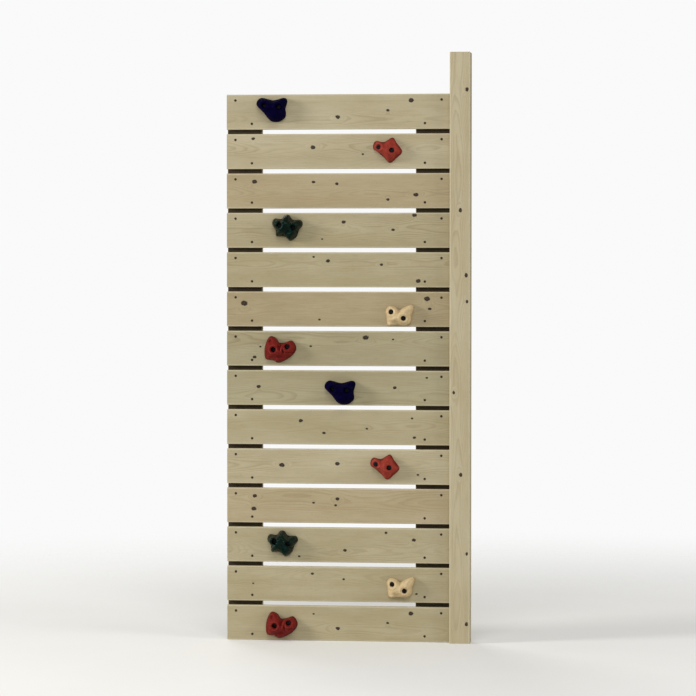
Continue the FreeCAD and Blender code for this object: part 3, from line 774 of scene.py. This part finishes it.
def resin(name, colour, scuffed, dirt_and_shade, roughness, flecks, shine, coat):
    """A cast resin finish. shine is how much its skin gleams and coat how much lies over it."""
    made = bpy.data.materials.new(name)
    made.use_nodes = True
    tree = made.node_tree
    shader = tree.nodes["Principled BSDF"]
    skin = use_group(tree, resin_group, {
        "Place": lay(tree, "ShaderNodeTexCoord").outputs["Object"],
        "Pointiness": lay(tree, "ShaderNodeNewGeometry").outputs["Pointiness"],
        "Colour": colour, "Scuffed": scuffed, "Dirt And Shade": dirt_and_shade, "Board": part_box("slat_01")[0].y,
        "Roughness": roughness, "Flecks": flecks,
    })
    bump = lay(tree, "ShaderNodeBump", {
        "Strength": 0.7, "Distance": 0.25 * MM, "Height": skin.outputs["Height"],
    })
    feed(tree, shader, {
        "Base Color": skin.outputs["Colour"], "Roughness": skin.outputs["Roughness"],
        "Normal": bump.outputs["Normal"], "Specular IOR Level": shine,
        "Coat Weight": coat, "Coat Roughness": 0.12,
    })
    return made


RESINS = {
    "blue": resin("resin_blue", paint(4, 1, 38), paint(18, 12, 66), paint(1, 0, 9),
                  0.6, 0.08, 0.02, 0.0),
    "red": resin("resin_red", paint(152, 52, 40), paint(188, 98, 84), paint(74, 12, 8),
                 0.52, 0.12, 0.16, 0.0),
    "crimson": resin("resin_crimson", paint(116, 22, 17), paint(158, 66, 54), paint(48, 2, 1),
                     0.5, 0.12, 0.14, 0.0),
    "green": resin("resin_green", paint(2, 17, 12), paint(12, 44, 34), paint(1, 4, 3),
                   0.3, 0.08, 0.12, 0.1),
    "cream": resin("resin_cream", paint(208, 185, 143), paint(226, 212, 180), paint(150, 126, 88),
                   0.55, 0.2, 0.22, 0.0),
}

# The green resin gleams a cool sea green.
green_shader = RESINS["green"].node_tree.nodes["Principled BSDF"]
green_shader.inputs["Specular Tint"].default_value = paint(120, 232, 208)

# For each shape, in mm from its middle: the outline, how far it stands out, how pointed and
# how steep its dome is, its dishes as (across, up, half width, half height, depth) and its
# flats as (bearing, slope, distance from the middle to where the flat meets the board).
SHAPES = {
    "shield": {
        "outline": [(-54, 19), (-38, 41), (4, 33), (41, 41), (53, 30), (47, 4), (48, -21),
                    (34, -36), (12, -42), (-8, -35), (-29, -10)],
        "reach": 58, "point": 2.8, "steep": 0.72,
        "dishes": [(0, -5, 30, 10, 9), (2, 33, 13, 7, 5), (26, -22, 9, 12, 5)],
        "flats": [(-125, 58, 52), (85, 66, 52)],
    },
    "star": {
        "outline": [(-50, 8), (-41, 31), (-12, 28), (17, 43), (32, 24), (50, -4), (32, -26),
                    (8, -43), (-11, -26), (-32, -8)],
        "reach": 50, "point": 1.9, "steep": 0.85,
        "dishes": [(-12, 24, 9, 12, 8), (40, 14, 12, 9, 7), (-18, -14, 13, 9, 8), (30, -22, 9, 12, 5)],
        "flats": [(150, 55, 56), (-35, 52, 56)],
    },
    "flower": {
        "outline": [(-53, 13), (-45, 31), (-21, 30), (-9, 43), (6, 43), (19, 28), (46, 26),
                    (53, 10), (40, -9), (32, -30), (10, -45), (-10, -30), (-38, -29), (-41, -8)],
        "reach": 55, "point": 2.8, "steep": 0.72,
        "dishes": [(3, -9, 18, 17, 17), (-22, 24, 5, 9, 12), (21, 24, 5, 9, 12), (-36, -10, 9, 4, 12),
                   (38, -11, 10, 4, 11), (-11, -26, 4, 9, 12)],
        "flats": [(100, 60, 56), (-80, 64, 58)],
    },
    "hide": {
        "outline": [(-49, 16), (-37, 32), (-17, 30), (-2, 19), (19, 29), (42, 37), (49, 24),
                    (42, -2), (38, -25), (22, -36), (-8, -35), (-40, -36), (-46, -10)],
        "reach": 46, "point": 3.0, "steep": 0.7,
        "dishes": [(-3, 14, 7, 11, 6), (-20, -23, 20, 6, 6), (36, 8, 5, 18, 4), (-44, 2, 4, 12, 5)],
        "flats": [(-90, 55, 50), (35, 62, 62)],
    },
    "heart": {
        "outline": [(-47, 29), (-34, 45), (-15, 39), (-2, 23), (17, 24), (40, 30), (55, 9),
                    (49, -12), (25, -33), (-6, -46), (-27, -37), (-51, -32), (-55, -1)],
        "reach": 52, "point": 2.8, "steep": 0.72,
        "dishes": [(1, 17, 5, 16, 14), (-31, 28, 7, 7, 13), (2, -25, 17, 6, 10), (-44, -14, 5, 13, 8),
                   (37, -11, 13, 4, 8), (14, -3, 4, 14, 7)],
        "flats": [(-60, 58, 56), (160, 66, 62)],
    },
}
HOLD_SEGMENTS = 208
HOLD_RINGS = 56

# Bolt holes: the bolt's seat above the board, the two radii, and how far past the board a drill
# goes. Round each mouth lie a raised boss, a wide funnel and a worn lip.
SEAT = 20 * MM
BORE = 4.5 * MM
COUNTERBORE = 8.75 * MM
DRILL_IN = 80 * MM
DRILL_PAST = 1 * MM
BOSS = 2.4 * MM
FUNNEL = 6.5 * MM
LIP = 2.0 * MM

# Skin: how round the flats meet the dome, how high the plain foot under the dishes and lumps is,
# and how much smaller the sole is than the edge above it.
SOFTNESS = 2.2 * MM
PLAIN_FOOT = 12 * MM
SOLE_SHARE = 0.985
SOLE_EDGE = 1.2 * MM
hold_bolts = [(low + high) / 2 for low, high in separate_boxes("hold_bolts")]


def swell(place, seed, size, height):
    """How far a cast surface swells or dips, from noise of a given size."""
    return noise.noise(Vector(place) / size + Vector((seed, seed * 1.7, seed * 2.3))) * height


def lower_of(first, second):
    """The lower of two heights, rounded where they cross."""
    return -SOFTNESS * np.logaddexp(-first / SOFTNESS, -second / SOFTNESS)


def cast_hold(node, style, finish, seed):
    """Casts one hold in its shape over its two bolts, and drills its bolt holes."""
    shape = SHAPES[style]
    outline = closed_curve(shape["outline"]) * MM
    low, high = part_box(node)
    centre_x = (low.x + high.x) / 2 - (outline[:, 0].min() + outline[:, 0].max()) / 2
    centre_z = (low.z + high.z) / 2 - (outline[:, 1].min() + outline[:, 1].max()) / 2
    board = high.y
    bolts = [(bolt.x, bolt.z) for bolt in hold_bolts
             if low.x < bolt.x < high.x and low.z < bolt.z < high.z]

    bearing = np.arctan2(outline[:, 1], outline[:, 0]) % (2 * math.pi)
    order = np.argsort(bearing)
    angles = np.linspace(0, 2 * math.pi, HOLD_SEGMENTS, endpoint=False)
    radii = np.interp(angles, bearing[order], np.hypot(*outline.T)[order], period=2 * math.pi)
    shares = np.sin(np.linspace(0, math.pi / 2, HOLD_RINGS)[1:])
    share = np.concatenate(([0.0], np.repeat(shares, HOLD_SEGMENTS)))
    across = np.concatenate(([0.0], np.outer(shares, radii * np.cos(angles)).ravel()))
    up = np.concatenate(([0.0], np.outer(shares, radii * np.sin(angles)).ravel()))

    reach = shape["reach"] * MM
    height = reach * np.clip(1 - share ** shape["point"], 0, 1) ** shape["steep"]
    for direction, slope, distance in shape["flats"]:
        ahead = across * math.cos(math.radians(direction)) + up * math.sin(math.radians(direction))
        flat = (distance * MM - ahead) * math.tan(math.radians(slope))
        height = lower_of(height, flat)
    foot = np.clip(height / PLAIN_FOOT, 0, 1)
    for dish_x, dish_z, half_x, half_z, depth in shape["dishes"]:
        away = ((across / MM - dish_x) / half_x) ** 2 + ((up / MM - dish_z) / half_z) ** 2
        height -= depth * MM * np.exp(-away ** 1.3) * foot
    height += foot * [
        swell(spot, seed, 24 * MM, 4.5 * MM) + swell(spot, seed + 9, 9 * MM, 1.5 * MM)
        + swell(spot, seed + 5, 3.5 * MM, 0.35 * MM)
        for spot in zip(across, height, up)
    ]
    for bolt_x, bolt_z in bolts:
        from_rim = np.hypot(across + centre_x - bolt_x, up + centre_z - bolt_z) - COUNTERBORE
        height += BOSS * np.exp(-((from_rim - FUNNEL) / (3 * MM)) ** 2) * foot
        height -= FUNNEL * 0.5 * np.clip(1 - from_rim / FUNNEL, 0, 1) ** 2 * foot
        height -= LIP * 0.6 * np.clip(1 - from_rim / LIP, 0, 1) ** 2 * foot
    height *= reach * 0.985 / height.max()
    height = np.maximum(height, (1.3 + 4 * (1 - share)) * MM)

    surface = np.column_stack((centre_x + across, board - height, centre_z + up))
    surface[-HOLD_SEGMENTS:, 1] = board - SOLE_EDGE
    sole = surface[-HOLD_SEGMENTS:].copy()
    sole[:, 0] = centre_x + (sole[:, 0] - centre_x) * SOLE_SHARE
    sole[:, 2] = centre_z + (sole[:, 2] - centre_z) * SOLE_SHARE
    sole[:, 1] = board
    vertices = np.vstack((surface, sole))
    faces = [tuple(1 + index for index in face) for face in ring_faces(HOLD_RINGS, HOLD_SEGMENTS)]
    faces += [(0, 1 + (step + 1) % HOLD_SEGMENTS, 1 + step) for step in range(HOLD_SEGMENTS)]
    faces.append(tuple(range(len(vertices) - HOLD_SEGMENTS, len(vertices))))
    piece = mesh_piece(f"cast_{node}", vertices, faces, finish, node)
    drill_out(piece, bolts, BORE, board - DRILL_IN, board + DRILL_PAST)
    drill_out(piece, bolts, COUNTERBORE, board - DRILL_IN, board - SEAT)
    piece.data.set_sharp_from_angle(angle=math.radians(38))


# The seed sets each casting's own lumps.
for level, seed in (("upper", 3.0), ("lower", 8.0)):
    cast_hold(f"hold_shield_blue_{level}", "shield", RESINS["blue"], seed)
    cast_hold(f"hold_star_red_{level}", "star", RESINS["red"], seed + 1)
    cast_hold(f"hold_flower_green_{level}", "flower", RESINS["green"], seed + 2)
    cast_hold(f"hold_hide_cream_{level}", "hide", RESINS["cream"], seed + 3)
    cast_hold(f"hold_heart_red_{level}", "heart", RESINS["crimson"], seed + 4)


# ------------------------------------------------------------------ washers
# A plain blackened steel washer lies under every bolt head, on the floor of the counterbore, and
# spreads the bolt's pull over the resin. It is stamped from sheet, so its edges are rounded.

blackened = steel("blackened_bolt_steel", paint(34, 33, 34), paint(110, 110, 112),
                  paint(14, 13, 12), 0.42, 0.35, 0.7)
boxes = separate_boxes("hold_washers")
low, high = boxes[0]
rim = (high.x - low.x) / 2
EYE = 4.2 * MM
thick = high.y - low.y
washer = turned([
    (0.0, rim - 0.3 * MM), (0.3 * MM, rim), (thick - 0.2 * MM, rim), (thick, rim - 0.2 * MM),
    (thick, EYE + 0.2 * MM), (thick - 0.2 * MM, EYE), (0.2 * MM, EYE), (0.0, EYE + 0.2 * MM),
], 48, closed=True)
places = [((low.x + high.x) / 2, low.y, (low.z + high.z) / 2) for low, high in boxes]
vertices, faces = placed_copies([washer], places, INTO_WALL, nut_chance)
mesh_piece("plain_washers", vertices, faces, blackened, "hold_washers")


# ------------------------------------------------------------------ hold bolts
# M8 socket cap screws in blackened steel hold each cast hold to its board. The head is knurled,
# the key socket is a hexagon and the threaded end shows through the tee nut at the back.

boxes = separate_boxes("hold_bolts")
low, high = boxes[0]
cap = (high.x - low.x) / 2
length = high.y - low.y
CAP_HIGH = 8 * MM
BOLT = 4.0 * MM
SOCKET = 6 * MM
BOLT_THREAD = 28 * MM
BOLT_PITCH = 1.25 * MM
THREAD_DEPTH = 0.65 * MM
KNURLED_SEGMENTS = 72
turn = np.arange(KNURLED_SEGMENTS) * 2 * math.pi / KNURLED_SEGMENTS
hexagon = SOCKET / 2 / np.cos(turn % (math.pi / 3) - math.pi / 6)
knurled = cap - 0.22 * MM * (np.arange(KNURLED_SEGMENTS) % 2)
cap_head = turned([
    (CAP_HIGH, BOLT * 0.95), (CAP_HIGH, cap - 0.35 * MM), (CAP_HIGH - 0.3 * MM, cap - 0.1 * MM),
    (CAP_HIGH - 0.8 * MM, knurled), (1.2 * MM, knurled), (0.7 * MM, cap - 0.15 * MM),
    (0.1 * MM, cap - 0.75 * MM), (0.0, cap - 1.0 * MM), (0.0, SOCKET * 0.66), (0.05 * MM, hexagon * 1.04),
    (0.3 * MM, hexagon), (4.0 * MM, hexagon), (4.5 * MM, hexagon * 0.5),
], KNURLED_SEGMENTS)
shank_end = length - BOLT_THREAD
bolt_rod = turned(
    [(CAP_HIGH - 1 * MM, BOLT * 0.97), (shank_end - 0.6 * MM, BOLT * 0.97)]
    + thread(shank_end, length - 1 * MM, BOLT, BOLT_PITCH, THREAD_DEPTH, 20)
    + [(length - 0.8 * MM, BOLT - THREAD_DEPTH), (length, BOLT - 1.2 * MM)], 20)
places = [((low.x + high.x) / 2, low.y, (low.z + high.z) / 2) for low, high in boxes]
vertices, faces = placed_copies([cap_head, bolt_rod], places, INTO_WALL, random.Random(31))
mesh_piece("socket_cap_bolts", vertices, faces, blackened, "hold_bolts")


# ------------------------------------------------------------------ ground, light and camera
# A pale studio floor that fades into the background, a low soft light from the left along the
# boards, a broad high one in front, a weak one at each of the right and the back, and the
# camera a little right of the middle.

floor_mesh = bpy.data.meshes.new("floor")
floor_build = bmesh.new()
bmesh.ops.create_circle(floor_build, cap_ends=True, segments=96, radius=14)
floor_build.to_mesh(floor_mesh)
floor_build.free()
floor = bpy.data.objects.new("floor", floor_mesh)
bpy.context.scene.collection.objects.link(floor)
floor_paint = bpy.data.materials.new("floor_paper")
floor_paint.use_nodes = True
tree = floor_paint.node_tree
shader = tree.nodes["Principled BSDF"]
shader.inputs["Roughness"].default_value = 0.9
place = lay(tree, "ShaderNodeTexCoord").outputs["Object"]
spread = lay(tree, "ShaderNodeVectorMath", {0: place}, operation="LENGTH").outputs["Value"]
mottle = cloud(tree, place, (2, 2, 2), 2.0)
tree.links.new(blend(tree, mottle, paint(240, 240, 238), paint(234, 234, 231)), shader.inputs["Base Color"])
tree.links.new(ease(tree, spread, 0.9, 4.5, 1.0, 0.0), shader.inputs["Alpha"])
floor_mesh.materials.append(floor_paint)

world = bpy.data.worlds.new("studio")
bpy.context.scene.world = world
world.use_nodes = True
sky = world.node_tree
seen = lay(sky, "ShaderNodeLightPath").outputs["Is Camera Ray"]
feed(sky, sky.nodes["Background"], {
    "Color": paint(252, 252, 252), "Strength": ease(sky, seen, 0.0, 1.0, 0.3, 0.98),
})


def soft_light(name, place, width, power, warmth):
    """A square soft light of a given width and power, aimed at the middle of the wall."""
    data = bpy.data.lights.new(name, "AREA")
    data.shape = "SQUARE"
    data.size = width
    data.energy = power
    data.color = warmth
    lamp = bpy.data.objects.new(name, data)
    lamp.location = place
    lamp.rotation_euler = (Vector(LIT_SPOT) - Vector(place)).to_track_quat("-Z", "Y").to_euler()
    bpy.context.scene.collection.objects.link(lamp)


LIT_SPOT = (0, 0, 1.0)
soft_light("key_light", (-5.8, -2.6, 2.6), 1.6, 250, (1.0, 0.98, 0.94))
soft_light("front_light", (0.6, -5.5, 5.6), 4.0, 212, (1.0, 0.99, 0.97))
soft_light("side_light", (5.2, -2.0, 2.4), 2.4, 90, (1.0, 0.99, 0.97))
soft_light("back_light", (-2.5, 5.0, 4.0), 3.0, 130, (1.0, 0.98, 0.95))

low, high = cad_box
wall_middle = Vector((0, 0, (low[2] + high[2]) / 2))
camera_data = bpy.data.cameras.new("camera")
camera_data.lens = 166
camera_data.sensor_width = 36
camera = bpy.data.objects.new("camera", camera_data)
camera.location = (1.29, -10.9, 1.367)
camera.rotation_euler = (wall_middle - camera.location).to_track_quat("-Z", "Y").to_euler()
bpy.context.scene.collection.objects.link(camera)
bpy.context.scene.camera = camera
bpy.context.scene.view_settings.view_transform = "Standard"
